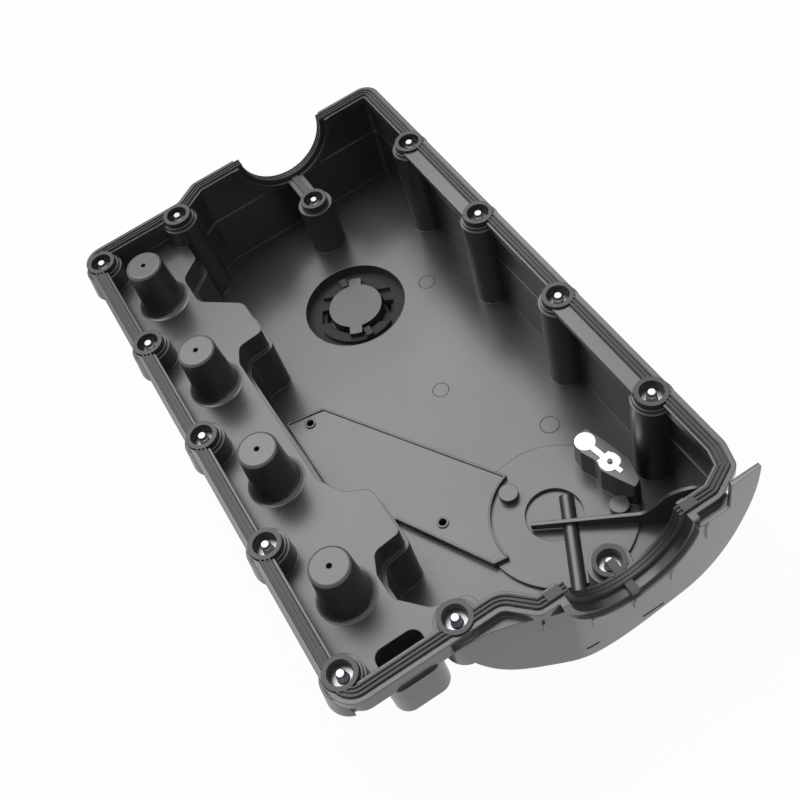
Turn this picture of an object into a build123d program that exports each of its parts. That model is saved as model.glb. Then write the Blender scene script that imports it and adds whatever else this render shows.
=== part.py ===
"""Valve cover of a four-cylinder engine, lying with its open side up.

Frame: millimetres, +X from the bolt rail with the terrace to the plain bolt rail,
+Y from the belt end to the far end, +Z up out of the open side, table at Z = 0.
"""
import os

from build123d import *

os.makedirs("parts", exist_ok=True)

# Heights above the table
seal_z = 110.0
flange_z = seal_z - 1.5
terrace_z = seal_z - 20.0
ledge_z = seal_z - 37.0
floor_z = seal_z - 78.0

# Walls of the moulding
wall_t = 3.0
flange_t = 6.0
flange_lip = 1.2
flange_w = 9.5
wall_inset = 2.5
cavity_inset = wall_inset + wall_t
ledge_w = 2.5
low_cavity_inset = cavity_inset + 1.0
fit_gap = 0.1

# Outline of the rim: x, y, corner radius, and +1 for an outer or -1 for an inner corner
rim_half_w = 119.5
near_y = -201.0
far_y = 207.0
rim_corners = [
    (-rim_half_w, near_y + 14, 14.0, 1),
    (-25.5, near_y + 14, 8.0, -1),
    (-11.5, near_y, 8.0, 1),
    (98.5, near_y, 8.0, 1),
    (115.5, near_y + 9, 6.0, 1),
    (rim_half_w, near_y + 23, 6.0, 1),
    (rim_half_w, far_y, 10.0, 1),
    (-27.5, far_y, 8.0, 1),
    (-43.5, far_y - 10, 8.0, -1),
    (-rim_half_w, far_y - 10, 12.0, 1),
]

# Free edge of the terrace: x, y, corner radius
terrace_corners = [
    (-53.5, 161, 6.0),
    (-68.5, 149, 8.0),
    (-68.5, 123, 10.0),
    (-44.0, 101, 10.0),
    (-44.0, 71, 4.0),
    (-62.5, 69.5, 6.0),
    (-68.0, 57, 8.0),
    (-67.0, -50, 10.0),
    (-58.5, -67, 10.0),
    (-44.0, -75, 8.0),
    (-44.0, -109, 4.0),
    (-62.5, -111, 6.0),
    (-68.0, -124, 8.0),
    (-67.5, -141, 8.0),
    (-53.5, -157, 6.0),
    (-31.5, -163, 6.0),
]

# Bolts, sleeves and grommets
bolt_pitch = 88.0
bolt_x = 110.5
cam_x = 41.0
left_bolts = [(-bolt_x, -169.0 + bolt_pitch * i, seal_z) for i in range(5)]
right_bolts = [(bolt_x, -130.6 + bolt_pitch * i, seal_z) for i in range(4)]
near_bolt = (-47.5, -177.7, seal_z)
far_bolt = (-49.2, 186.8, seal_z)
cam_bolts = [(cam_x, -183.0, seal_z - 37.0), (cam_x, 167.0, seal_z - 33.0)]
rail_bolts = left_bolts + right_bolts + [near_bolt, far_bolt]
all_bolts = rail_bolts + cam_bolts
boss_r = 12.5
ring_r = 9.7
opening_r = 7.0
ring_h = 5.0
sleeve_r = 6.0
sleeve_top = 8.0
seat_depth = 16.0
grommet_t = 5.0
sleeve_len = seat_depth + grommet_t - sleeve_top
grommet_r = 8.6
well_r = 9.0
shank_r = 3.0
sleeve_bore_r = shank_r + 0.35
left_boss_h = 24.0
near_boss_h = 35.0
pad_r = 14.5

# Cones on the terrace
cone_x = -87.2
cone_y = -124.1
cone_top_z = seal_z + 17.0
cone_base_r = 14.2

# Half-round seats for the camshaft ends
far_seal_r = 32.0
near_seal_r = 34.0
half_ring_t = 4.5
strip_t = 3.5

# Gasket strip
strip_inset = 1.8
strip_w = 6.0
groove_d = 3.0
bead_w = 0.8
bead_h = 0.5

# Filler neck and cap
filler_x = 26.0
filler_y = 99.5
filler_r = 36.3
key_r = 20.8
plug_r = key_r - 1.5
lug_r = 25.5
lug_w = 9.0
lug_turn = 62.0
lug_z = floor_z - 1.0
lug_t = 4.0
ramp_top = lug_z - lug_t - 0.3
ring_top = ramp_top - 3.2
ramp_r = 29.0
neck_r = 28.0
neck_z = 14.0
cap_seal_t = 2.0
cap_r = 31.0

# Breather chamber under the floor
breather_x = 43.8
breather_y = -125.3
breather_r = 46.0
breather_z = 9.0
disc_r = 48.0
disc_t = 2.5
disc_hole = (42.1, -124.3)
disc_hole_r = 17.5
disc_studs = [(27.3, -98.0), (75.2, -143.8)]
pipe_start = (54.5, -119.0)
pipe_dir = (-27.0, -50.0)
pipe_r = 4.5
vent_hole = (52.5, -122.7)
vent_r = 2.8
plate_t = 2.5
diaphragm_t = 1.5
spring_wire_r = 0.9
spigot_x = -38.0
spigot_z = 21.6
spigot_r = 5.5

# Reed valve on its block: plan of the block, and the leaf's centre line
reed_z = seal_z - 54.0
reed_block = [
    (74.5, -99), (72.5, -110), (76, -120), (74.5, -127), (78, -136), (84, -149),
    (90, -146), (94, -130), (90, -112), (86, -98),
]
reed_pad = (79.5, -106.0)
reed_head = (82.7, -126.0)
reed_t = 0.5

# Splash wall from the gas opening to the near right corner
wall_start = (26.0, -123.7)
wall_end = (113.0, -179.0)

# Guard plate at the belt end
guard_t = 2.5
guard_front = near_y - 6.2
guard_path = [(-57, -190.5), (-30, -194), (-4, -203.5), (22, guard_front)]
guard_edge = [
    (-54, 92), (-44, 62.5), (-27, 41), (-5, 35.5), (29, 31), (60, 35), (80, 40.5), (96.5, 55),
    (108, 76), (115.5, 100), (118, seal_z + 17),
]

# Ribs on the guard: x, middle height, length, face of the plate there
guard_ribs = [
    (-11.5, 90.0, 14.0, -200.9),
    (13.2, 75.5, 16.0, guard_front + 0.4),
    (39.0, 64.0, 10.0, guard_front),
    (63.0, 71.0, 13.0, guard_front),
    (85.4, 94.0, 16.0, guard_front),
]


def rim(inset):
    """Outline of the rim moved inwards by inset, corners rounded to suit."""
    with BuildSketch() as face:
        with BuildLine():
            Polyline(*[(x, y) for x, y, r, turn in rim_corners], close=True)
        make_face()
        if inset != 0:
            offset(amount=-inset, kind=Kind.INTERSECTION, mode=Mode.REPLACE)
        for x, y, r, turn in rim_corners:
            corner = face.vertices().sort_by_distance((x, y, 0))[0]
            fillet(corner, max(r - turn * inset, 1.5))
    return face.sketch


def terrace(grow):
    """Plan of the terrace, its free edge moved outwards by grow."""
    with BuildSketch() as face:
        with BuildLine():
            Polyline(
                (-150, 240),
                (-53.5, 240),
                *[(x, y) for x, y, r in terrace_corners],
                (-31.5, -240),
                (-150, -240),
                close=True,
            )
        make_face()
        for x, y, r in terrace_corners:
            fillet(face.vertices().sort_by_distance((x, y, 0))[0], r)
        if grow != 0:
            offset(amount=grow, kind=Kind.ARC, mode=Mode.REPLACE)
    return face.sketch


def separator_plan(inset):
    """Plan of the separator plate: a leaning strip with a hollow end round the disc."""
    with BuildSketch() as face:
        with BuildLine():
            Polyline(
                (-62.0, 36),
                (-35.5, 31),
                (35.0, -89.5),
                (4.0, -133),
                (-5.5, -131.5),
                (-37.5, -71),
                (-54.0, -62),
                (-62.0, -46),
                close=True,
            )
        make_face()
        if inset > 0:
            offset(amount=-inset, kind=Kind.INTERSECTION, mode=Mode.REPLACE)
        with Locations((breather_x, breather_y)):
            Circle(40.0, mode=Mode.SUBTRACT)
    return face.sketch


# Guard plate: a band that leaves the rim on the left and stands before it on the right
with BuildPart() as guard:
    with BuildSketch():
        with BuildLine():
            Spline(*guard_path, tangents=((1, 0), (1, 0)))
            Line(guard_path[-1], (123, guard_front))
            Line((123, guard_front), (123, guard_front + guard_t))
            Line((123, guard_front + guard_t), (guard_path[-1][0], guard_front + guard_t))
            Spline(*[(x, y + guard_t) for x, y in reversed(guard_path)], tangents=((-1, 0), (-1, 0)))
            Line((guard_path[0][0], guard_path[0][1] + guard_t), guard_path[0])
        make_face()
    extrude(amount=seal_z + 16)
    with BuildSketch(Plane.XZ.offset(150)):
        with BuildLine():
            Spline(*guard_edge)
            Line(guard_edge[-1], (100, seal_z + 17))
            Line((100, seal_z + 17), (100, flange_z - flange_t))
            Line((100, flange_z - flange_t), (-56, flange_z - flange_t))
            Line((-56, flange_z - flange_t), guard_edge[0])
        make_face()
        with Locations((10.8, 44.5)):
            Rectangle(8, 2.5, mode=Mode.SUBTRACT)
        with Locations((50.5, 39.5)):
            Rectangle(14, 2.5, mode=Mode.SUBTRACT)
    extrude(amount=100, mode=Mode.INTERSECT)
    for rib_x, rib_z, rib_h, face_y in guard_ribs:
        with BuildSketch(Plane.XZ.offset(-face_y - 0.5)):
            with Locations((rib_x, rib_z)):
                SlotOverall(rib_h, 1.6, rotation=90)
        extrude(amount=1.5)
    with BuildSketch(Plane.XZ.offset(150)):
        with Locations((cam_x, seal_z)):
            Circle(near_seal_r + strip_t + half_ring_t - 0.5)
    extrude(amount=100, mode=Mode.SUBTRACT)

# Tool for one bolt hole, from the gasket ring's seat down to the well for the head
with BuildPart() as bolt_hole:
    with BuildSketch(Plane.XZ):
        with BuildLine():
            Polyline(
                (0, 0.5),
                (ring_r + fit_gap, 0.5),
                (ring_r + fit_gap, -ring_h),
                (opening_r, -ring_h),
                (opening_r, -sleeve_top),
                (sleeve_r + fit_gap, -sleeve_top),
                (sleeve_r + fit_gap, -seat_depth),
                (well_r, -seat_depth),
                (well_r, floor_z - wall_t - 1 - seal_z),
                (0, floor_z - wall_t - 1 - seal_z),
                close=True,
            )
        make_face()
    revolve(axis=Axis.Z)

with BuildPart() as bolt_holes:
    with Locations(*all_bolts):
        add(bolt_hole.part)

# Cover moulding
with BuildPart() as cover_shell:
    # Flange, upper wall and the deep box, first as blocks
    with BuildSketch(Plane.XY.offset(flange_z - flange_t)):
        add(rim(-flange_lip))
    extrude(amount=flange_t)
    with BuildSketch(Plane.XY.offset(terrace_z - wall_t)):
        add(rim(wall_inset))
    extrude(amount=flange_z - flange_t - terrace_z + wall_t)
    with BuildSketch(Plane.XY.offset(ledge_z - wall_t)):
        add(rim(wall_inset))
        add(terrace(-wall_t), mode=Mode.SUBTRACT)
    extrude(amount=terrace_z - ledge_z)
    with BuildSketch(Plane.XY.offset(floor_z - wall_t)):
        add(rim(wall_inset))
        add(terrace(ledge_w - wall_t), mode=Mode.SUBTRACT)
    extrude(amount=ledge_z - floor_z)

    # Hollow it from the open side
    with BuildSketch(Plane.XY.offset(flange_z - flange_t)):
        add(rim(flange_w))
    extrude(amount=flange_t, mode=Mode.SUBTRACT)
    with BuildSketch(Plane.XY.offset(terrace_z)):
        add(rim(cavity_inset))
    extrude(amount=flange_z - flange_t - terrace_z, mode=Mode.SUBTRACT)
    with BuildSketch(Plane.XY.offset(ledge_z)):
        add(rim(cavity_inset))
        add(terrace(0), mode=Mode.SUBTRACT)
    extrude(amount=terrace_z - ledge_z, mode=Mode.SUBTRACT)
    with BuildSketch(Plane.XY.offset(floor_z)):
        add(rim(low_cavity_inset))
        add(terrace(ledge_w), mode=Mode.SUBTRACT)
    extrude(amount=ledge_z - floor_z, mode=Mode.SUBTRACT)

    # Inner shelf of the flange between the outer pairs of right-hand bolts
    for start in (0, 2):
        with BuildSketch(Plane.XY.offset(flange_z - 3.5)):
            with Locations((rim_half_w - flange_w - 3.5, right_bolts[start][1] + bolt_pitch / 2)):
                Rectangle(8.5, bolt_pitch - 8)
        extrude(amount=3.5)

    # Bolt columns: short on the terrace side, down to the floor elsewhere
    with BuildSketch(Plane.XY.offset(seal_z - left_boss_h)):
        with Locations(*[(x, y) for x, y, z in left_bolts]):
            Circle(boss_r)
    extrude(amount=left_boss_h - 6.0)
    with BuildSketch(Plane.XY.offset(seal_z - near_boss_h)):
        with Locations(near_bolt[:2]):
            Circle(boss_r)
    extrude(amount=near_boss_h - 6.0)
    with BuildSketch(Plane.XY.offset(floor_z - wall_t)):
        with Locations(*[(x, y) for x, y, z in right_bolts + [far_bolt]]):
            Circle(boss_r)
    extrude(amount=seal_z - 6.0 - floor_z + wall_t)
    with BuildSketch(Plane.XY.offset(seal_z - left_boss_h)):
        with Locations(*[(x, y) for x, y, z in left_bolts + right_bolts]):
            Circle(pad_r)
        Rectangle(2 * (rim_half_w - wall_inset - 2), 500, mode=Mode.SUBTRACT)
    extrude(amount=left_boss_h - 6.0, taper=6.0)
    with BuildSketch(Plane.XY.offset(seal_z - 6.0)):
        with Locations(*[(x, y) for x, y, z in rail_bolts]):
            Circle(boss_r - 1.3)
    extrude(amount=2.5)
    for x, y, z in cam_bolts:
        with BuildSketch(Plane.XY.offset(floor_z - wall_t)):
            with Locations((x, y)):
                Circle(boss_r)
        extrude(amount=z - ring_h - floor_z + wall_t)

    # Half-round seats round the camshaft ends, with a bridge to each cam bolt
    for seal_r, y0, y1, bolt in (
        (near_seal_r, near_y - 4.0, near_y + 10.0, cam_bolts[0]),
        (far_seal_r, far_y - 10.0, far_y + flange_lip, cam_bolts[1]),
    ):
        outer_r = seal_r + strip_t + half_ring_t
        with BuildSketch(Plane.XZ.offset(-y1)):
            with Locations((cam_x, seal_z)):
                Circle(outer_r)
                Circle(seal_r + strip_t, mode=Mode.SUBTRACT)
            with Locations((cam_x, flange_z + 30)):
                Rectangle(120, 60, mode=Mode.SUBTRACT)
        extrude(amount=y1 - y0)
        mid_y = (bolt[1] + (y0 + y1) / 2) / 2
        with BuildSketch(Plane.XY.offset(seal_z - seal_r - strip_t - 5)):
            with Locations((cam_x, mid_y)):
                Rectangle(12, abs(bolt[1] - (y0 + y1) / 2))
        extrude(amount=5)
        with BuildSketch(Plane.XZ.offset(-(y0 + y1) / 2 - 20)):
            with Locations((cam_x, seal_z)):
                Circle(seal_r + strip_t)
        extrude(amount=40, mode=Mode.SUBTRACT)

    # Pocket in the terrace beside the near wall
    with BuildSketch(Plane.XY.offset(seal_z - 54)):
        with Locations((-79.0, -172.0)):
            RectangleRounded(34, 28, 9)
    extrude(amount=terrace_z - wall_t - seal_z + 54)
    with BuildSketch(Plane.XY.offset(seal_z - 51)):
        with Locations((-79.0, -172.0)):
            RectangleRounded(28, 22, 6)
    extrude(amount=terrace_z - seal_z + 51, mode=Mode.SUBTRACT)

    # Cones, hollow from below, each with a small blind hole in its top
    with BuildSketch(Plane.XY.offset(terrace_z)) as cone_foot:
        with Locations(*[(cone_x, cone_y + bolt_pitch * i) for i in range(4)]):
            Circle(cone_base_r)
    extrude(amount=cone_top_z - terrace_z, taper=3.4)
    fillet(cover_shell.edges().group_by(Axis.Z)[-1], 2.0)
    with BuildSketch(Plane.XY.offset(terrace_z - wall_t)):
        with Locations(*[(cone_x, cone_y + bolt_pitch * i) for i in range(4)]):
            Circle(cone_base_r - wall_t)
    extrude(amount=cone_top_z - terrace_z - 8.0, taper=3.4, mode=Mode.SUBTRACT)
    with BuildSketch(Plane.XY.offset(cone_top_z - 5)):
        with Locations(*[(cone_x, cone_y + bolt_pitch * i) for i in range(4)]):
            Circle(1.6)
    extrude(amount=5, mode=Mode.SUBTRACT)

    # Filler neck: wide mouth in the floor, keyed ring with two ramps and their stops, outer collar
    with BuildSketch(Plane.XZ.offset(-filler_y)):
        with BuildLine():
            Polyline(
                (filler_x + filler_r, floor_z),
                (filler_x + filler_r + wall_t, floor_z - wall_t),
                (filler_x + filler_r + wall_t, ring_top - 4),
                (filler_x + neck_r, ring_top - 4),
                (filler_x + neck_r, neck_z),
                (filler_x + neck_r - 4, neck_z),
                (filler_x + neck_r - 4, ring_top - 4),
                (filler_x, ring_top - 4),
                (filler_x, ring_top),
                (filler_x + filler_r, ring_top),
                close=True,
            )
        make_face()
    revolve(axis=Axis((filler_x, filler_y, 0), (0, 0, 1)))
    with BuildSketch(Plane.XY.offset(ring_top)):
        with Locations((filler_x, filler_y)):
            Circle(filler_r)
    extrude(amount=floor_z - ring_top, mode=Mode.SUBTRACT)
    with BuildSketch(Plane.XY.offset(ring_top)):
        with Locations((filler_x, filler_y)):
            Circle(ramp_r)
            Circle(key_r + 0.8, mode=Mode.SUBTRACT)
            Rectangle(30, 2 * ramp_r + 2, rotation=lug_turn, mode=Mode.SUBTRACT)
    extrude(amount=ramp_top - ring_top)
    with BuildSketch(Plane.XY.offset(ring_top)):
        with Locations((filler_x, filler_y)):
            with PolarLocations((key_r + 0.8 + ramp_r) / 2, 2, start_angle=lug_turn + 20):
                Rectangle(ramp_r - key_r - 0.8, 5)
    extrude(amount=lug_z - 1 - ring_top)
    with BuildSketch(Plane.XY.offset(ring_top - 4)):
        with Locations((filler_x, filler_y)):
            Circle(key_r)
            Rectangle(lug_w + 3, 2 * lug_r + 2, rotation=lug_turn)
    extrude(amount=ramp_top - ring_top + 4, mode=Mode.SUBTRACT)

    # Breather housing below the floor with its hose spigot
    with BuildSketch(Plane.XY.offset(breather_z)):
        with Locations((breather_x, breather_y)):
            Circle(breather_r)
            Circle(breather_r - wall_t, mode=Mode.SUBTRACT)
    extrude(amount=floor_z - wall_t - breather_z)
    with BuildSketch(Plane.YZ.offset(spigot_x)):
        with Locations((breather_y, spigot_z)):
            Circle(spigot_r)
    extrude(amount=breather_x - breather_r - spigot_x + 2)
    with BuildSketch(Plane.YZ.offset(spigot_x)):
        with Locations((breather_y, spigot_z)):
            Circle(spigot_r - 1.7)
    extrude(amount=breather_x - breather_r - spigot_x + 6, mode=Mode.SUBTRACT)
    with BuildSketch(Plane.XY.offset(floor_z - wall_t)):
        with Locations(vent_hole):
            Circle(vent_r)
    extrude(amount=wall_t, mode=Mode.SUBTRACT)

    # Raised seat under the separator plate
    with BuildSketch(Plane.XY.offset(floor_z)):
        add(separator_plan(0))
        add(separator_plan(3.0), mode=Mode.SUBTRACT)
        with Locations((breather_x, breather_y)):
            Circle(disc_r + 0.4, mode=Mode.SUBTRACT)
    extrude(amount=disc_t)

    # Guard plate and the web that carries it under the flange
    add(guard.part)
    with BuildSketch(Plane.XY.offset(flange_z - flange_t - 3)):
        with BuildLine():
            Spline(*guard_path, tangents=((1, 0), (1, 0)))
            Line(guard_path[-1], (104, guard_front))
            Line((104, guard_front), (104, -185))
            Line((104, -185), (guard_path[0][0], -185))
            Line((guard_path[0][0], -185), guard_path[0])
        make_face()
        add(rim(wall_inset + 1), mode=Mode.SUBTRACT)
        with Locations((cam_x, near_y)):
            Rectangle(2 * (near_seal_r + strip_t + 2), 40, mode=Mode.SUBTRACT)
    extrude(amount=3)

    # Groove for the gasket strip, then the bolt holes
    with BuildSketch(Plane.XY.offset(flange_z - groove_d)):
        add(rim(strip_inset - fit_gap))
        add(rim(strip_inset + strip_w + fit_gap), mode=Mode.SUBTRACT)
    extrude(amount=groove_d, mode=Mode.SUBTRACT)
    add(bolt_holes.part, mode=Mode.SUBTRACT)

cover_shell.part.label = "cover_shell"
export_step(cover_shell.part, "parts/cover_shell.step")

# Gasket: beaded strip in the flange, rings round the bolts, half rings at the camshaft ends
with BuildPart() as rim_gasket:
    with BuildSketch(Plane.XY.offset(flange_z - groove_d)):
        add(rim(strip_inset))
        add(rim(strip_inset + strip_w), mode=Mode.SUBTRACT)
    extrude(amount=groove_d + 0.5)
    for bead in (0.4, 2.6, 4.8):
        with BuildSketch(Plane.XY.offset(flange_z + 0.5)):
            add(rim(strip_inset + bead))
            add(rim(strip_inset + bead + bead_w), mode=Mode.SUBTRACT)
        extrude(amount=1.0)
    for seal_r, y0, y1 in (
        (near_seal_r, near_y - 5, near_y + 15),
        (far_seal_r, far_y - 15, far_y + 5),
    ):
        with BuildSketch(Plane.XZ.offset(-y1)):
            with Locations((cam_x, seal_z)):
                Circle(seal_r + bead_h)
        extrude(amount=y1 - y0, mode=Mode.SUBTRACT)
    for seal_r, y0, bolt in (
        (near_seal_r, near_y + strip_inset, cam_bolts[0]),
        (far_seal_r, far_y - strip_inset - strip_w, cam_bolts[1]),
    ):
        out_r = seal_r + strip_t - fit_gap
        with BuildSketch(Plane.XZ.offset(-y0 - strip_w)):
            with Locations((cam_x, seal_z)):
                Circle(out_r)
                Circle(seal_r + bead_h, mode=Mode.SUBTRACT)
            with Locations((cam_x, flange_z + 0.5 + 50)):
                Rectangle(120, 100, mode=Mode.SUBTRACT)
        extrude(amount=strip_w)
        for bead in (0.4, 2.6, 4.8):
            with BuildSketch(Plane.XZ.offset(-y0 - bead - bead_w)):
                with Locations((cam_x, seal_z)):
                    Circle(seal_r + bead_h + 0.3)
                    Circle(seal_r, mode=Mode.SUBTRACT)
                with Locations((cam_x, seal_z + 50)):
                    Rectangle(120, 100, mode=Mode.SUBTRACT)
            extrude(amount=bead_w)
        strap_y = (bolt[1], y0 + strip_w / 2)
        with BuildSketch(Plane.XY.offset(seal_z - out_r)):
            with Locations((cam_x, (strap_y[0] + strap_y[1]) / 2)):
                Rectangle(5, abs(strap_y[1] - strap_y[0]))
        extrude(amount=1.0)
    with BuildSketch(Plane.XY.offset(flange_z + 0.5)):
        with Locations(*[(cam_x + side * (near_seal_r + 7.5), near_y + 5) for side in (-1, 1)]):
            Rectangle(9, 5.5)
    extrude(amount=1.3)
    with BuildSketch(Plane.XY.offset(seal_z - near_seal_r - strip_t + fit_gap)):
        with Locations((cam_x, near_y - 1.5)):
            Rectangle(5, 7.5)
    extrude(amount=2.8)
    with Locations(*all_bolts):
        Cylinder(ring_r, ring_h, align=(Align.CENTER, Align.CENTER, Align.MAX))
        Cylinder(opening_r, ring_h, align=(Align.CENTER, Align.CENTER, Align.MAX), mode=Mode.SUBTRACT)

rim_gasket.part.label = "rim_gasket"
export_step(rim_gasket.part, "parts/rim_gasket.step")

# Captive bolt: dog point up, flanged hexagon head in its well
with BuildPart() as bolt:
    with BuildSketch(Plane.XZ):
        with BuildLine():
            Polyline(
                (0, -0.5),
                (shank_r - 1.0, -0.5),
                (shank_r - 0.7, -0.8),
                (shank_r - 0.7, -3.0),
                (shank_r, -3.7),
                (shank_r, -seat_depth - grommet_t),
                (well_r - 1.0, -seat_depth - grommet_t),
                (well_r - 1.3, -seat_depth - grommet_t - 2.0),
                (0, -seat_depth - grommet_t - 2.0),
                close=True,
            )
        make_face()
    revolve(axis=Axis.Z)
    with BuildSketch(Plane.XY.offset(-seat_depth - grommet_t - 7.0)):
        RegularPolygon(5.0, 6, major_radius=False)
    extrude(amount=5.5)

with BuildPart() as captive_bolts:
    with Locations(*all_bolts):
        add(bolt.part)

captive_bolts.part.label = "captive_bolts"
export_step(captive_bolts.part, "parts/captive_bolts.step")

# Steel sleeves that limit how far the plastic is squeezed
with BuildPart() as bolt_sleeves:
    with Locations(*[(x, y, z - sleeve_top) for x, y, z in all_bolts]):
        Cylinder(sleeve_r, sleeve_len, align=(Align.CENTER, Align.CENTER, Align.MAX))
        Cylinder(
            sleeve_bore_r, sleeve_len,
            align=(Align.CENTER, Align.CENTER, Align.MAX), mode=Mode.SUBTRACT,
        )

bolt_sleeves.part.label = "bolt_sleeves"
export_step(bolt_sleeves.part, "parts/bolt_sleeves.step")

# Rubber grommets between bolt heads and the moulding
with BuildPart() as bolt_grommets:
    with Locations(*[(x, y, z - seat_depth) for x, y, z in all_bolts]):
        Cylinder(grommet_r, grommet_t, align=(Align.CENTER, Align.CENTER, Align.MAX))
        Cylinder(
            sleeve_r + fit_gap, grommet_t,
            align=(Align.CENTER, Align.CENTER, Align.MAX), mode=Mode.SUBTRACT,
        )

bolt_grommets.part.label = "bolt_grommets"
export_step(bolt_grommets.part, "parts/bolt_grommets.step")

# Separator plate welded on its seat, its hollow end lying on the round baffle
with BuildPart() as separator_plate:
    with BuildSketch(Plane.XY.offset(floor_z + disc_t)):
        add(separator_plan(0))
        with Locations((-48.5, 26), (-15.5, -90)):
            Circle(2.4, mode=Mode.SUBTRACT)
    extrude(amount=plate_t)

separator_plate.part.label = "separator_plate"
export_step(separator_plate.part, "parts/separator_plate.step")

# Round baffle: disc with a gas opening, two studs, half-round pipe, reed block and splash wall
with BuildPart() as breather_baffle:
    with BuildSketch(Plane.XY.offset(floor_z)):
        with Locations((breather_x, breather_y)):
            Circle(disc_r)
    extrude(amount=disc_t)
    with BuildSketch(Plane.XY.offset(floor_z)):
        with Locations(*disc_studs):
            Circle(6.0)
    extrude(amount=disc_t + 5)
    with BuildSketch(Plane.XY.offset(floor_z)) as block:
        with BuildLine():
            Polyline(*reed_block, close=True)
        make_face()
        fillet(block.vertices(), 2.0)
    extrude(amount=reed_z - floor_z, taper=1.5)
    with BuildSketch(Plane.XY.offset(reed_z - 1)):
        with Locations(reed_head):
            Circle(1.5)
    extrude(amount=2.6)
    with BuildSketch(Plane.XY.offset(floor_z)):
        with Locations(disc_hole):
            Circle(disc_hole_r)
    extrude(amount=disc_t, mode=Mode.SUBTRACT)
    pipe_plane = Plane(
        origin=(pipe_start[0], pipe_start[1], floor_z),
        x_dir=(-pipe_dir[1], pipe_dir[0], 0), z_dir=(pipe_dir[0], pipe_dir[1], 0),
    )
    with BuildSketch(pipe_plane):
        with Locations((0, 2.2)):
            Circle(pipe_r)
        with Locations((0, -5)):
            Rectangle(20, 10, mode=Mode.SUBTRACT)
    extrude(amount=81)
    with BuildSketch(pipe_plane.offset(1.5)):
        with Locations((0, 2.2)):
            Circle(pipe_r - 1.5)
        Rectangle(2 * pipe_r - 3, 4.4)
        with Locations((0, -5)):
            Rectangle(20, 10, mode=Mode.SUBTRACT)
    extrude(amount=81, mode=Mode.SUBTRACT)
    wall_dir = Vector(wall_end[0] - wall_start[0], wall_end[1] - wall_start[1], 0)
    wall_plane = Plane(
        origin=(wall_start[0], wall_start[1], floor_z),
        x_dir=wall_dir, z_dir=wall_dir.cross(Vector(0, 0, 1)),
    )
    with BuildSketch(wall_plane):
        with BuildLine():
            Line((0, disc_t), (0, 7.5))
            Line((0, 7.5), (62, 11.5))
            Spline((62, 11.5), (70, 17), (80, 32), (90, 38), (112, 38.5), tangents=((5, 1), (1, 0)))
            Line((112, 38.5), (112, 0))
            Line((112, 0), (40, 0))
            Line((40, 0), (40, disc_t))
            Line((40, disc_t), (0, disc_t))
        make_face()
    extrude(amount=1.2, both=True)
    with BuildSketch(Plane.XY.offset(floor_z)):
        add(rim(low_cavity_inset + fit_gap))
        with Locations(*[(x, y) for x, y, z in right_bolts + cam_bolts]):
            Circle(boss_r + fit_gap, mode=Mode.SUBTRACT)
    extrude(amount=flange_z - flange_t - floor_z - 1, mode=Mode.INTERSECT)

breather_baffle.part.label = "breather_baffle"
export_step(breather_baffle.part, "parts/breather_baffle.step")

# Spring-steel leaf of the drain valve, staked on its block
with BuildPart() as drain_reed:
    leaf_dir = Vector(reed_head[0] - reed_pad[0], reed_head[1] - reed_pad[1], 0)
    leaf_plane = Plane(origin=(reed_pad[0], reed_pad[1], reed_z), x_dir=leaf_dir, z_dir=(0, 0, 1))
    with BuildSketch(leaf_plane):
        Circle(6.3)
        with Locations((leaf_dir.length / 2, 0)):
            Rectangle(leaf_dir.length, 3.6)
        with Locations((leaf_dir.length, 0)):
            RectangleRounded(11, 12.5, 4.5)
        with Locations((leaf_dir.length + 6.5, 0)):
            Rectangle(6, 3)
        with Locations((leaf_dir.length - 4.0, 0)):
            Rectangle(3.4, 9.5)
        with Locations((leaf_dir.length, 0)):
            Circle(1.6, mode=Mode.SUBTRACT)
    extrude(amount=reed_t)

drain_reed.part.label = "drain_reed"
export_step(drain_reed.part, "parts/drain_reed.step")

# Filler cap: ribbed grip below, hollow plug with two lugs above
with BuildPart() as filler_cap:
    with BuildSketch(Plane.XZ.offset(-filler_y)):
        with BuildLine():
            Polyline(
                (filler_x, 4.0),
                (filler_x + cap_r - 5, 4.0),
                (filler_x + cap_r - 5, 0),
                (filler_x + cap_r - 1.5, 0),
                (filler_x + cap_r, 1.5),
                (filler_x + cap_r, neck_z - cap_seal_t),
                (filler_x + plug_r, neck_z - cap_seal_t),
                (filler_x + plug_r, lug_z),
                (filler_x, lug_z),
                close=True,
            )
        make_face()
    revolve(axis=Axis((filler_x, filler_y, 0), (0, 0, 1)))
    with BuildSketch(Plane.XY):
        with Locations((filler_x, filler_y)):
            Rectangle(2 * cap_r - 8, 10, rotation=lug_turn)
    extrude(amount=5)
    with BuildSketch(Plane.XY.offset(lug_z - lug_t)):
        with Locations((filler_x, filler_y)):
            Circle(lug_r)
            with Locations(Location((0, 0), lug_turn)):
                Rectangle(2 * lug_r, lug_w, mode=Mode.INTERSECT)
    extrude(amount=lug_t)
    with BuildSketch(Plane.XY):
        with Locations((filler_x, filler_y)):
            with PolarLocations(cap_r + 1.2, 24):
                Circle(2.2)
    extrude(amount=9, mode=Mode.SUBTRACT)

filler_cap.part.label = "filler_cap"
export_step(filler_cap.part, "parts/filler_cap.step")

# Flat rubber seal between cap and neck
with BuildPart() as filler_cap_seal:
    with Locations((filler_x, filler_y, neck_z)):
        Cylinder(neck_r - 0.5, cap_seal_t, align=(Align.CENTER, Align.CENTER, Align.MAX))
        Cylinder(
            plug_r + fit_gap, cap_seal_t,
            align=(Align.CENTER, Align.CENTER, Align.MAX), mode=Mode.SUBTRACT,
        )

filler_cap_seal.part.label = "filler_cap_seal"
export_step(filler_cap_seal.part, "parts/filler_cap_seal.step")

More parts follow.
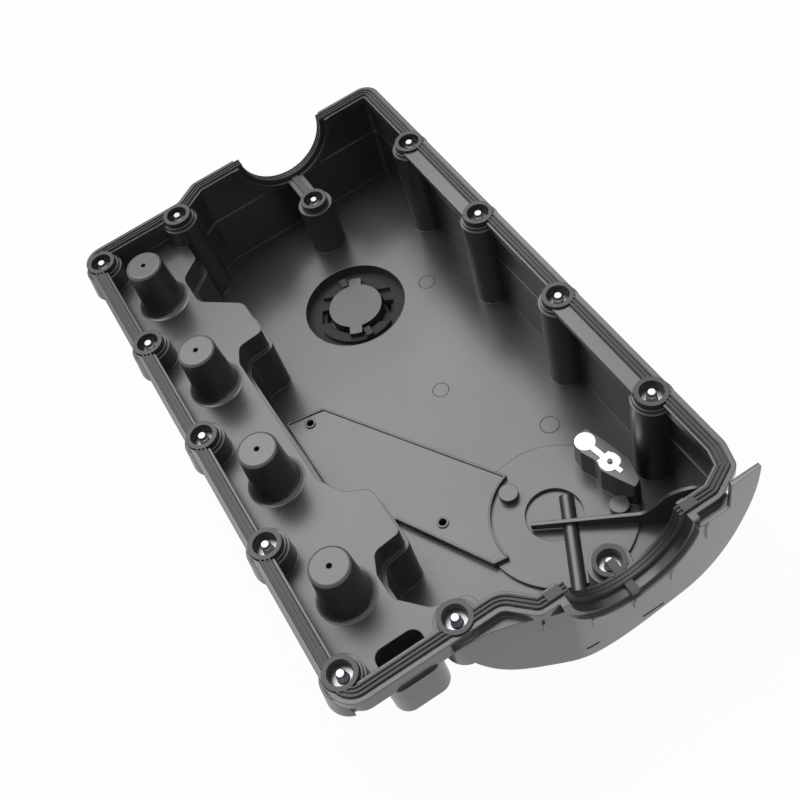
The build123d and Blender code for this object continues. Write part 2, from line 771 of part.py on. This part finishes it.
# Lid of the breather housing, snapped over its wall
with BuildPart() as breather_lid:
    with BuildSketch(Plane.XZ.offset(-breather_y)):
        with BuildLine():
            Polyline(
                (breather_x, 0),
                (breather_x + breather_r + 1, 0),
                (breather_x + breather_r + 2.5, 1.5),
                (breather_x + breather_r + 2.5, breather_z + 6),
                (breather_x + breather_r + fit_gap, breather_z + 6),
                (breather_x + breather_r + fit_gap, breather_z - diaphragm_t),
                (breather_x + breather_r - wall_t - 1, breather_z - diaphragm_t),
                (breather_x + breather_r - wall_t - 1, 3),
                (breather_x, 3),
                close=True,
            )
        make_face()
    revolve(axis=Axis((breather_x, breather_y, 0), (0, 0, 1)))

breather_lid.part.label = "breather_lid"
export_step(breather_lid.part, "parts/breather_lid.step")

# Rubber diaphragm: clamped rim, rolled fold and stiff middle
with BuildPart() as breather_diaphragm:
    with BuildSketch(Plane.XZ.offset(-breather_y)):
        with BuildLine():
            Polyline(
                (breather_x, breather_z - diaphragm_t),
                (breather_x + 30, breather_z - diaphragm_t),
                (breather_x + 34, breather_z - 4),
                (breather_x + 38, breather_z - 4),
                (breather_x + 41, breather_z - diaphragm_t),
                (breather_x + breather_r, breather_z - diaphragm_t),
                (breather_x + breather_r, breather_z),
                (breather_x + 40.5, breather_z),
                (breather_x + 37.5, breather_z - 2.5),
                (breather_x + 34.5, breather_z - 2.5),
                (breather_x + 31, breather_z),
                (breather_x + 20, breather_z),
                (breather_x + 20, breather_z + 2),
                (breather_x, breather_z + 2),
                close=True,
            )
        make_face()
    revolve(axis=Axis((breather_x, breather_y, 0), (0, 0, 1)))

breather_diaphragm.part.label = "breather_diaphragm"
export_step(breather_diaphragm.part, "parts/breather_diaphragm.step")

# Coil spring between the diaphragm and the floor
with BuildPart() as breather_spring:
    spring_h = floor_z - wall_t - breather_z - 2 - 2 * spring_wire_r
    with BuildLine(Plane(origin=(breather_x, breather_y, breather_z + 2 + spring_wire_r))) as coil:
        Helix(spring_h / 3, spring_h, 12)
    with BuildSketch(Plane(origin=coil.line @ 0, z_dir=coil.line % 0)):
        Circle(spring_wire_r)
    sweep()

breather_spring.part.label = "breather_spring"
export_step(breather_spring.part, "parts/breather_spring.step")
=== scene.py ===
# %% [markdown]
# # A moulded valve cover, open side up
# The cover comes from the CAD model as a fixed frame: every node is already in place, in metres.
# Blender adds what a CAD model leaves out: the soft blends of the moulding, small marks of the mould,
# and finishes that look like satin plastic, rubber, zinc and spring steel.

# %% Load the frame
import math

import bmesh
import bpy
from mathutils import Matrix, Vector


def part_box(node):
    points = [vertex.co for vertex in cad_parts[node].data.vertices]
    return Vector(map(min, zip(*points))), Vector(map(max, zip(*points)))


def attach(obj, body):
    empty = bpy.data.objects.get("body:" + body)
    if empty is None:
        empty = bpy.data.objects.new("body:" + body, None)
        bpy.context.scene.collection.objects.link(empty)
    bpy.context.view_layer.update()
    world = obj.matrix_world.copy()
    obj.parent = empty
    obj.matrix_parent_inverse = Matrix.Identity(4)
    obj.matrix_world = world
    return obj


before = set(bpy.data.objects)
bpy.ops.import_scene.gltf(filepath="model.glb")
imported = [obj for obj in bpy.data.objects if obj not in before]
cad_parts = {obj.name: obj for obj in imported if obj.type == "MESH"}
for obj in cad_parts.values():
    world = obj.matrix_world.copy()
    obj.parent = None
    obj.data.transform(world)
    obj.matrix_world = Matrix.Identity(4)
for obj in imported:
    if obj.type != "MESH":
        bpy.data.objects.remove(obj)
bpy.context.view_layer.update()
print("nodes:", ", ".join(sorted(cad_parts)))

# %% [markdown]
# ## Places that several cells need
# The pieces added here sit on the moulding, so their places repeat the CAD model's levels.
# All values are metres, and heights are measured from the table.

# %% Levels of the moulding
TERRACE_Z = 0.090
FLOOR_Z = 0.032
CONE_PITCH = 0.088
CONE_X = -0.0872
CONE_Y = [-0.1241 + CONE_PITCH * i for i in range(4)]
CONE_R = 0.0142
print("terrace at", TERRACE_Z, "floor at", FLOOR_Z)

# %% [markdown]
# ## A helper for new pieces
# A bmesh is the workshop, and an object is what leaves it. The helper merges doubled points, turns all
# faces outwards, shades smoothly with sharp creases kept, and lets the piece ride on a body of the frame.

# %% Helper: from bmesh to a riding piece
MERGE_DISTANCE = 1e-6


def finish_piece(name, bm, body, crease_deg=35.0):
    bmesh.ops.remove_doubles(bm, verts=bm.verts, dist=MERGE_DISTANCE)
    bmesh.ops.recalc_face_normals(bm, faces=bm.faces)
    for edge in bm.edges:
        edge.smooth = len(edge.link_faces) == 2 and edge.calc_face_angle() < math.radians(crease_deg)
    for face in bm.faces:
        face.smooth = True
    mesh = bpy.data.meshes.new(name)
    bm.to_mesh(mesh)
    bm.free()
    piece = bpy.data.objects.new(name, mesh)
    bpy.context.scene.collection.objects.link(piece)
    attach(piece, body)
    print(name, len(mesh.polygons), "faces")
    return piece


# %% [markdown]
# ## A helper for round pieces
# The skirts and the mould marks are both rings. One profile, spun about an upright axis, makes each of them.

# %% Helper: spin a profile
def spin_profile(bm, points, centre, steps=64):
    """Turn a profile of (radius, height) points about a vertical axis at centre."""
    verts = [bm.verts.new((centre[0] + r, centre[1], z)) for r, z in points]
    edges = [bm.edges.new((a, b)) for a, b in zip(verts, verts[1:] + verts[:1])]
    bmesh.ops.spin(
        bm, geom=verts + edges, cent=(centre[0], centre[1], 0), axis=(0, 0, 1),
        angle=2 * math.pi, steps=steps, use_merge=True,
    )


# %% [markdown]
# ## Soft skirts round the cones
# On the moulding each cone flows into the terrace through a hollow curve, and that curve catches the light
# as a pale ring. The CAD cones stand on a sharp edge, so a ring with a hollow profile is spun into that corner.

# %% Cone skirts
SKIRT_SIZE = 0.0035
SKIRT_ARC_STEPS = 8
SKIRT_INTO_CONE = 0.0008
SKIRT_INTO_TERRACE = 0.0004
CONE_LEAN = 0.059


def hollow_profile(foot_r, foot_z, size, wall_lean):
    """Hollow quarter curve between a flat floor and a nearly upright wall."""
    points = []
    for i in range(SKIRT_ARC_STEPS + 1):
        a = math.radians(90 * i / SKIRT_ARC_STEPS)
        r = foot_r + size * (1 - math.sin(a))
        z = foot_z + size * (1 - math.cos(a))
        points.append((r - wall_lean * (z - foot_z), z))
    inner_r = foot_r - SKIRT_INTO_CONE
    under_z = foot_z - SKIRT_INTO_TERRACE
    return points + [(inner_r, foot_z + size), (inner_r, under_z), (foot_r + size, under_z)]


bm = bmesh.new()
for y in CONE_Y:
    spin_profile(bm, hollow_profile(CONE_R, TERRACE_Z, SKIRT_SIZE, CONE_LEAN), (CONE_X, y))
cone_skirts = finish_piece("cone_skirts", bm, "cover")

# %% [markdown]
# ## Welded edge of the separator plate
# Where the plate is welded to its seat, a thin ridge runs round it and shows as a dark and a bright line.
# A copy of the plate's top face is inset by the ridge's width, and that border is pulled up.

# %% Separator ridge
PLATE_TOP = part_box("separator_plate")[1][2]
TOP_TOLERANCE = 1e-5
RIDGE_WIDTH = 0.0013
RIDGE_HEIGHT = 0.0009

bm = bmesh.new()
bm.from_mesh(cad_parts["separator_plate"].data)
bmesh.ops.remove_doubles(bm, verts=bm.verts, dist=MERGE_DISTANCE)
below = [f for f in bm.faces if min(v.co.z for v in f.verts) < PLATE_TOP - TOP_TOLERANCE]
bmesh.ops.delete(bm, geom=below, context="FACES")
bmesh.ops.dissolve_limit(bm, angle_limit=math.radians(1), verts=bm.verts, edges=bm.edges)
inset = bmesh.ops.inset_region(
    bm, faces=bm.faces[:], thickness=RIDGE_WIDTH, use_even_offset=True, use_boundary=True,
)
border = set(inset["faces"])
bmesh.ops.delete(bm, geom=[f for f in bm.faces if f not in border], context="FACES")
raised = bmesh.ops.extrude_face_region(bm, geom=bm.faces[:])["geom"]
raised_verts = [g for g in raised if isinstance(g, bmesh.types.BMVert)]
bmesh.ops.translate(bm, verts=raised_verts, vec=(0, 0, RIDGE_HEIGHT))
separator_ridge = finish_piece("separator_ridge", bm, "cover")

# %% [markdown]
# ## Marks of the ejector pins
# The pins that push a moulding out of its mould leave faint round prints on the tray's floor.
# Each one is a hair-thin ring, spun like the skirts, and is seen only where it catches the lamp.

# %% Ejector marks
EJECTOR_PINS = [(0.0771, 0.0827, 0.0058), (0.0768, -0.0695, 0.0062), (0.0359, -0.0029, 0.0055)]
MARK_PROFILE = [(-0.0006, -0.0002), (-0.0003, 0.00015), (0.0, 0.0002), (0.0005, -0.0002)]
MARK_STEPS = 48

bm = bmesh.new()
for x, y, radius in EJECTOR_PINS:
    ring = [(radius + out, FLOOR_Z + rise) for out, rise in MARK_PROFILE]
    spin_profile(bm, ring, (x, y), MARK_STEPS)
ejector_marks = finish_piece("ejector_marks", bm, "cover")

# %% [markdown]
# ## Small helpers for finishes
# A ramp turns a position or a noise into a share, and a math node joins two shares.

# %% Helpers: ramps and joined shares
def ramp(tree, source, low, high, start=0.0, end=1.0):
    """Value that runs from start at low to end at high, and stays there beyond."""
    node = tree.nodes.new("ShaderNodeMapRange")
    node.inputs["From Min"].default_value = low
    node.inputs["From Max"].default_value = high
    node.inputs["To Min"].default_value = start
    node.inputs["To Max"].default_value = end
    tree.links.new(source, node.inputs["Value"])
    return node.outputs["Result"]


def joined(tree, operation, first, second):
    """Output of a math node fed by two sockets."""
    node = tree.nodes.new("ShaderNodeMath")
    node.operation = operation
    tree.links.new(first, node.inputs[0])
    tree.links.new(second, node.inputs[1])
    return node.outputs[0]


# %% [markdown]
# ## Finishes
# Each finish is one node material on Object coordinates, so that the grain has one scale on every piece.
# A helper adds the nodes: a fine noise for grain, a broad noise for uneven gloss, and a Bevel node, which
# rounds the sharp CAD edges in the shading just as a mould does.

# %% Helper: a grained finish
CLOUD_LOW = 0.3
CLOUD_HIGH = 0.7
CLOUD_DETAIL = 4.0
GRAIN_DETAIL = 2.0
GRAIN_STRENGTH = 0.35
BEVEL_SAMPLES = 6


def noise(tree, where, scale, detail):
    """Noise on Object coordinates."""
    node = tree.nodes.new("ShaderNodeTexNoise")
    node.inputs["Scale"].default_value = scale
    node.inputs["Detail"].default_value = detail
    tree.links.new(where.outputs["Object"], node.inputs["Vector"])
    return node.outputs["Fac"]


def grained(name, colour, dark, metallic, rough, grain_scale, grain_depth, edge, cloud=14.0, spec=0.5):
    """Principled finish: cloudy gloss between rough[0] and rough[1], fine grain, rounded edges."""
    mat = bpy.data.materials.new(name)
    mat.use_nodes = True
    tree = mat.node_tree
    shader = tree.nodes["Principled BSDF"]
    shader.inputs["Metallic"].default_value = metallic
    shader.inputs["Specular IOR Level"].default_value = spec
    where = tree.nodes.new("ShaderNodeTexCoord")
    broad = noise(tree, where, cloud, CLOUD_DETAIL)
    fine = noise(tree, where, grain_scale, GRAIN_DETAIL)

    tint = tree.nodes.new("ShaderNodeValToRGB")
    tint.color_ramp.elements[0].position = CLOUD_LOW
    tint.color_ramp.elements[0].color = (*dark, 1)
    tint.color_ramp.elements[1].position = CLOUD_HIGH
    tint.color_ramp.elements[1].color = (*colour, 1)
    tree.links.new(broad, tint.inputs["Fac"])
    tree.links.new(tint.outputs["Color"], shader.inputs["Base Color"])

    gloss = ramp(tree, broad, CLOUD_LOW, CLOUD_HIGH, *rough)
    tree.links.new(gloss, shader.inputs["Roughness"])

    soft_edge = tree.nodes.new("ShaderNodeBevel")
    soft_edge.samples = BEVEL_SAMPLES
    soft_edge.inputs["Radius"].default_value = edge
    bump = tree.nodes.new("ShaderNodeBump")
    bump.inputs["Strength"].default_value = GRAIN_STRENGTH
    bump.inputs["Distance"].default_value = grain_depth
    tree.links.new(fine, bump.inputs["Height"])
    tree.links.new(soft_edge.outputs["Normal"], bump.inputs["Normal"])
    tree.links.new(bump.outputs["Normal"], shader.inputs["Normal"])
    return mat


# %% [markdown]
# ### Painted light and shade by place
# Two zones of the cover get painted light and painted shade. This helper puts a Mix node in front of a socket:
# where the share is 0 the plain finish stays, and where it is 1 the other value takes over.

# %% Helper: blend another value into a socket
MIX_SOCKETS = {"RGBA": (6, 7, 2), "FLOAT": (2, 3, 0)}


def blend_into(mat, socket, kind, share, value):
    """Mix value into a linked socket of the shader; kind is the Mix node's data type."""
    tree = mat.node_tree
    target = tree.nodes["Principled BSDF"].inputs[socket]
    plain, other, result = MIX_SOCKETS[kind]
    blend = tree.nodes.new("ShaderNodeMix")
    blend.data_type = kind
    blend.inputs[other].default_value = value
    tree.links.new(share, blend.inputs["Factor"])
    tree.links.new(target.links[0].from_socket, blend.inputs[plain])
    tree.links.new(blend.outputs[result], target)


# %% [markdown]
# ### Painted light on the guard
# The plate at the belt end reads paler than the inside, most of all towards its horn, because of how light
# falls on it. Where that light comes from isn't settled, so a paler colour is painted in for it: painted light.
# Why it does so isn't settled, so a paler colour stands in for it. A position along Y picks the plate out, and
# a slow ramp along X sets how pale it is.

# %% Helper: painted light on the face at the belt end
GUARD_BACK_Y = -0.2054
GUARD_FRONT_Y = -0.2066
GUARD_DARK_X = -0.02
GUARD_PALE_X = 0.12
GUARD_LEAST = 0.45


def guard_painted_light(mat, pale):
    tree = mat.node_tree
    where = tree.nodes.new("ShaderNodeTexCoord")
    axes = tree.nodes.new("ShaderNodeSeparateXYZ")
    tree.links.new(where.outputs["Object"], axes.inputs["Vector"])
    on_guard = ramp(tree, axes.outputs["Y"], GUARD_BACK_Y, GUARD_FRONT_Y)
    paleness = ramp(tree, axes.outputs["X"], GUARD_DARK_X, GUARD_PALE_X, GUARD_LEAST)
    share = joined(tree, "MULTIPLY", on_guard, paleness)
    # The paler colour blended in here is painted light on the guard's face.
    blend_into(mat, "Base Color", "RGBA", share, (*pale, 1))


# %% [markdown]
# ### Painted shade in the filler mouth
# The ring round the filler plug reads nearly black, as if it lay deeper than it does in the CAD model. Painted
# shade stands in for that depth. The distance from the plug's axis and the height pick the ring out, and there
# the colour is painted darker as shade and the plastic is much rougher, so it mirrors nothing.

# %% Helper: painted shade inside the filler mouth
MOUTH_EDGE = 0.0006
MOUTH_FADE = 0.0015
# Painted shade: the near-black colour put on the filler mouth's ring.
MOUTH_SHADE_COLOUR = (0.012, 0.013, 0.014, 1)


def mouth_painted_shade(mat, centre, radius, top, dull):
    tree = mat.node_tree
    where = tree.nodes.new("ShaderNodeTexCoord")
    place = tree.nodes.new("ShaderNodeMapping")
    place.vector_type = "POINT"
    place.inputs["Location"].default_value = (-centre[0], -centre[1], 0)
    tree.links.new(where.outputs["Object"], place.inputs["Vector"])
    axes = tree.nodes.new("ShaderNodeSeparateXYZ")
    tree.links.new(place.outputs["Vector"], axes.inputs["Vector"])
    flat = tree.nodes.new("ShaderNodeCombineXYZ")
    tree.links.new(axes.outputs["X"], flat.inputs["X"])
    tree.links.new(axes.outputs["Y"], flat.inputs["Y"])
    reach = tree.nodes.new("ShaderNodeVectorMath")
    reach.operation = "LENGTH"
    tree.links.new(flat.outputs["Vector"], reach.inputs[0])
    inside = ramp(tree, reach.outputs["Value"], radius + MOUTH_EDGE, radius)
    under = ramp(tree, axes.outputs["Z"], top, top - MOUTH_FADE)
    share = joined(tree, "MULTIPLY", inside, under)
    # The darker colour blended in here is painted shade for the mouth's depth.
    blend_into(mat, "Base Color", "RGBA", share, MOUTH_SHADE_COLOUR)
    blend_into(mat, "Roughness", "FLOAT", share, dull)


# %% [markdown]
# ### Plastic, rubber and metal
# The cover is finished as satin nylon: near black, and pale grey where it mirrors the lamp and where light is
# painted on the guard.
# The gasket rubber is duller. The bolts are zinc plated, and the leaf is bright spring steel.

# %% Plastic and rubber
satin_nylon = grained(
    "satin_nylon", colour=(0.046, 0.049, 0.054), dark=(0.036, 0.039, 0.043), metallic=0.0,
    rough=(0.25, 0.33), grain_scale=2600.0, grain_depth=0.00002, edge=0.0008, spec=0.8,
)
# Painted light: the guard's face gets a paler colour for the light that falls on it.
guard_painted_light(satin_nylon, pale=(0.30, 0.302, 0.308))
# Painted shade: the filler mouth's ring is painted near black for its depth.
mouth_painted_shade(satin_nylon, centre=(0.026, 0.0995), radius=0.0363, top=0.0312, dull=0.85)
cap_nylon = grained(
    "cap_nylon", colour=(0.043, 0.046, 0.050), dark=(0.034, 0.037, 0.041), metallic=0.0,
    rough=(0.28, 0.36), grain_scale=2600.0, grain_depth=0.00002, edge=0.0005, spec=0.7,
)
seal_rubber = grained(
    "seal_rubber", colour=(0.030, 0.031, 0.033), dark=(0.021, 0.022, 0.024), metallic=0.0,
    rough=(0.40, 0.50), grain_scale=3200.0, grain_depth=0.00002, edge=0.0003, spec=0.6,
)
print("plastic and rubber:", satin_nylon.name, cap_nylon.name, seal_rubber.name)

# %% Metal
zinc_plate = grained(
    "zinc_plate", colour=(0.52, 0.53, 0.55), dark=(0.36, 0.37, 0.39), metallic=1.0,
    rough=(0.32, 0.48), grain_scale=1800.0, grain_depth=0.00001, edge=0.0003, cloud=160.0,
)
spring_steel = grained(
    "spring_steel", colour=(0.66, 0.67, 0.68), dark=(0.52, 0.53, 0.55), metallic=1.0,
    rough=(0.30, 0.45), grain_scale=2200.0, grain_depth=0.00001, edge=0.0002, cloud=120.0,
)
print("metal:", zinc_plate.name, spring_steel.name)

# %% [markdown]
# ### Each piece gets its finish
# The CAD nodes are listed by name, and the pieces added above are all of the cover's own plastic.

# %% Finishes on the pieces
finish_of = {
    "cover_shell": satin_nylon, "separator_plate": satin_nylon, "breather_baffle": satin_nylon,
    "breather_lid": satin_nylon, "filler_cap": cap_nylon, "rim_gasket": seal_rubber,
    "bolt_grommets": seal_rubber, "filler_cap_seal": seal_rubber, "breather_diaphragm": seal_rubber,
    "captive_bolts": zinc_plate, "bolt_sleeves": zinc_plate, "drain_reed": spring_steel,
    "breather_spring": spring_steel,
}
for node, finish in finish_of.items():
    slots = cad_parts[node].material_slots
    if not slots:
        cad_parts[node].data.materials.append(finish)
    for slot in slots:
        slot.material = finish
for piece in (cone_skirts, separator_ridge, ejector_marks):
    piece.data.materials.append(satin_nylon)
print("finishes on", len(finish_of), "nodes")

# %% [markdown]
# ## Stage, light and camera
# The floor is white to the camera and in reflections, and keeps a part of the cover's shadow. One broad lamp
# stands behind the cover, because the grey sheen on every face that looks up is that lamp's mirror image.
# The walls that face the viewer mirror nothing bright, so they stay nearly black.

# %% White where it is looked at
def seen_directly(tree):
    """1 for camera, glossy and transmission rays, 0 for the rays that only carry light."""
    path = tree.nodes.new("ShaderNodeLightPath")
    seen = joined(tree, "MAXIMUM", path.outputs["Is Camera Ray"], path.outputs["Is Glossy Ray"])
    return joined(tree, "MAXIMUM", seen, path.outputs["Is Transmission Ray"])


# %% Floor
FLOOR_SIZE = 4.0
FLOOR_WHITE_SHARE = 0.96

bm = bmesh.new()
bmesh.ops.create_grid(bm, x_segments=1, y_segments=1, size=FLOOR_SIZE)
floor_mesh = bpy.data.meshes.new("studio_floor")
bm.to_mesh(floor_mesh)
bm.free()
studio_floor = bpy.data.objects.new("studio_floor", floor_mesh)
bpy.context.scene.collection.objects.link(studio_floor)

white_floor = bpy.data.materials.new("white_floor")
white_floor.use_nodes = True
tree = white_floor.node_tree
paper = tree.nodes["Principled BSDF"]
paper.inputs["Base Color"].default_value = (0.86, 0.86, 0.86, 1)
paper.inputs["Roughness"].default_value = 0.9
paper.inputs["Specular IOR Level"].default_value = 0.1
glow = tree.nodes.new("ShaderNodeEmission")
mix = tree.nodes.new("ShaderNodeMixShader")
white_share = ramp(tree, seen_directly(tree), 0.0, 1.0, end=FLOOR_WHITE_SHARE)
tree.links.new(white_share, mix.inputs["Fac"])
tree.links.new(paper.outputs[0], mix.inputs[1])
tree.links.new(glow.outputs[0], mix.inputs[2])
tree.links.new(mix.outputs[0], tree.nodes["Material Output"].inputs["Surface"])
floor_mesh.materials.append(white_floor)
print("floor", FLOOR_SIZE, "m to each side")

# %% World
FILL_STRENGTH = 0.25

world = bpy.data.worlds.new("studio_world")
bpy.context.scene.world = world
world.use_nodes = True
tree = world.node_tree
soft_fill = tree.nodes["Background"]
soft_fill.inputs["Color"].default_value = (0.92, 0.96, 1.0, 1)
soft_fill.inputs["Strength"].default_value = FILL_STRENGTH
white_wall = tree.nodes.new("ShaderNodeBackground")
white_wall.inputs["Color"].default_value = (1, 1, 1, 1)
white_wall.inputs["Strength"].default_value = 1.0
mix = tree.nodes.new("ShaderNodeMixShader")
tree.links.new(seen_directly(tree), mix.inputs["Fac"])
tree.links.new(soft_fill.outputs[0], mix.inputs[1])
tree.links.new(white_wall.outputs[0], mix.inputs[2])
tree.links.new(mix.outputs[0], tree.nodes["World Output"].inputs["Surface"])
print("fill light", FILL_STRENGTH)

# %% Lamp behind the cover
LAMP_RAY = Vector((0.04, -0.46, -0.888)).normalized()
LAMP_TARGET = Vector((0.0, 0.0, 0.07))
LAMP_DISTANCE = 1.7

lamp_data = bpy.data.lights.new("back_softbox", "AREA")
lamp_data.shape = "RECTANGLE"
lamp_data.size = 1.8
lamp_data.size_y = 1.2
lamp_data.energy = 23.0
back_softbox = bpy.data.objects.new("back_softbox", lamp_data)
back_softbox.location = LAMP_TARGET - LAMP_RAY * LAMP_DISTANCE
back_softbox.rotation_euler = LAMP_RAY.to_track_quat("-Z", "Y").to_euler()
bpy.context.scene.collection.objects.link(back_softbox)
print("lamp at", [round(c, 2) for c in back_softbox.location])

# %% Camera
CAMERA_PLACE = (-0.0867, -0.40015, 0.61028)
CAMERA_FORWARD = Vector((0.12987, 0.57317, -0.80908)).normalized()
CAMERA_UP = Vector((0.52218, 0.65413, 0.54722)).normalized()

camera_data = bpy.data.cameras.new("photo_camera")
camera_data.sensor_width = 36.0
camera_data.lens = 48.35
camera_data.shift_x = 0.0079
camera_data.shift_y = 0.00145
photo_camera = bpy.data.objects.new("photo_camera", camera_data)
pose = Matrix((CAMERA_FORWARD.cross(CAMERA_UP), CAMERA_UP, -CAMERA_FORWARD)).transposed().to_4x4()
pose.translation = CAMERA_PLACE
photo_camera.matrix_world = pose
bpy.context.scene.collection.objects.link(photo_camera)
bpy.context.scene.camera = photo_camera
bpy.context.scene.view_settings.view_transform = "Standard"
print("camera at", CAMERA_PLACE)
